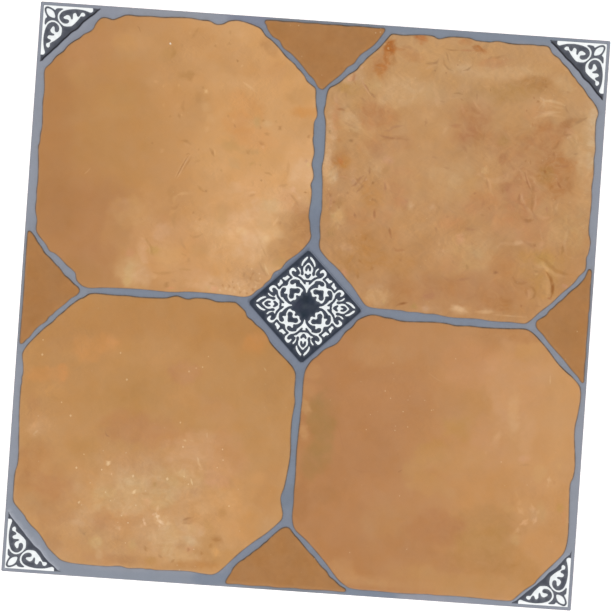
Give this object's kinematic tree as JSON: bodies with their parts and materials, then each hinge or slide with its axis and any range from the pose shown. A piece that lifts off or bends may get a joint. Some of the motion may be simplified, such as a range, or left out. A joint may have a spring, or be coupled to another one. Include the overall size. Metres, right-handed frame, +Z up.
{
  "type": "floor tile",
  "caption": "Square pressed ceramic floor tile with raised octagon fields, a small ornamented centre square and ornamented corners, divided by shallow joints.",
  "frame": {"origin": "centre of the underside, the face that is bedded in adhesive", "axes": "+Z up through the thickness to the decorated face, X along the front edge, Y from the front edge to the back edge"},
  "size_m": [0.45, 0.45, 0.0095],
  "materials": {
    "glaze": "satin"
  },
  "bodies": {
    "root": {"tile": "glaze"}
  },
  "joints": []
}
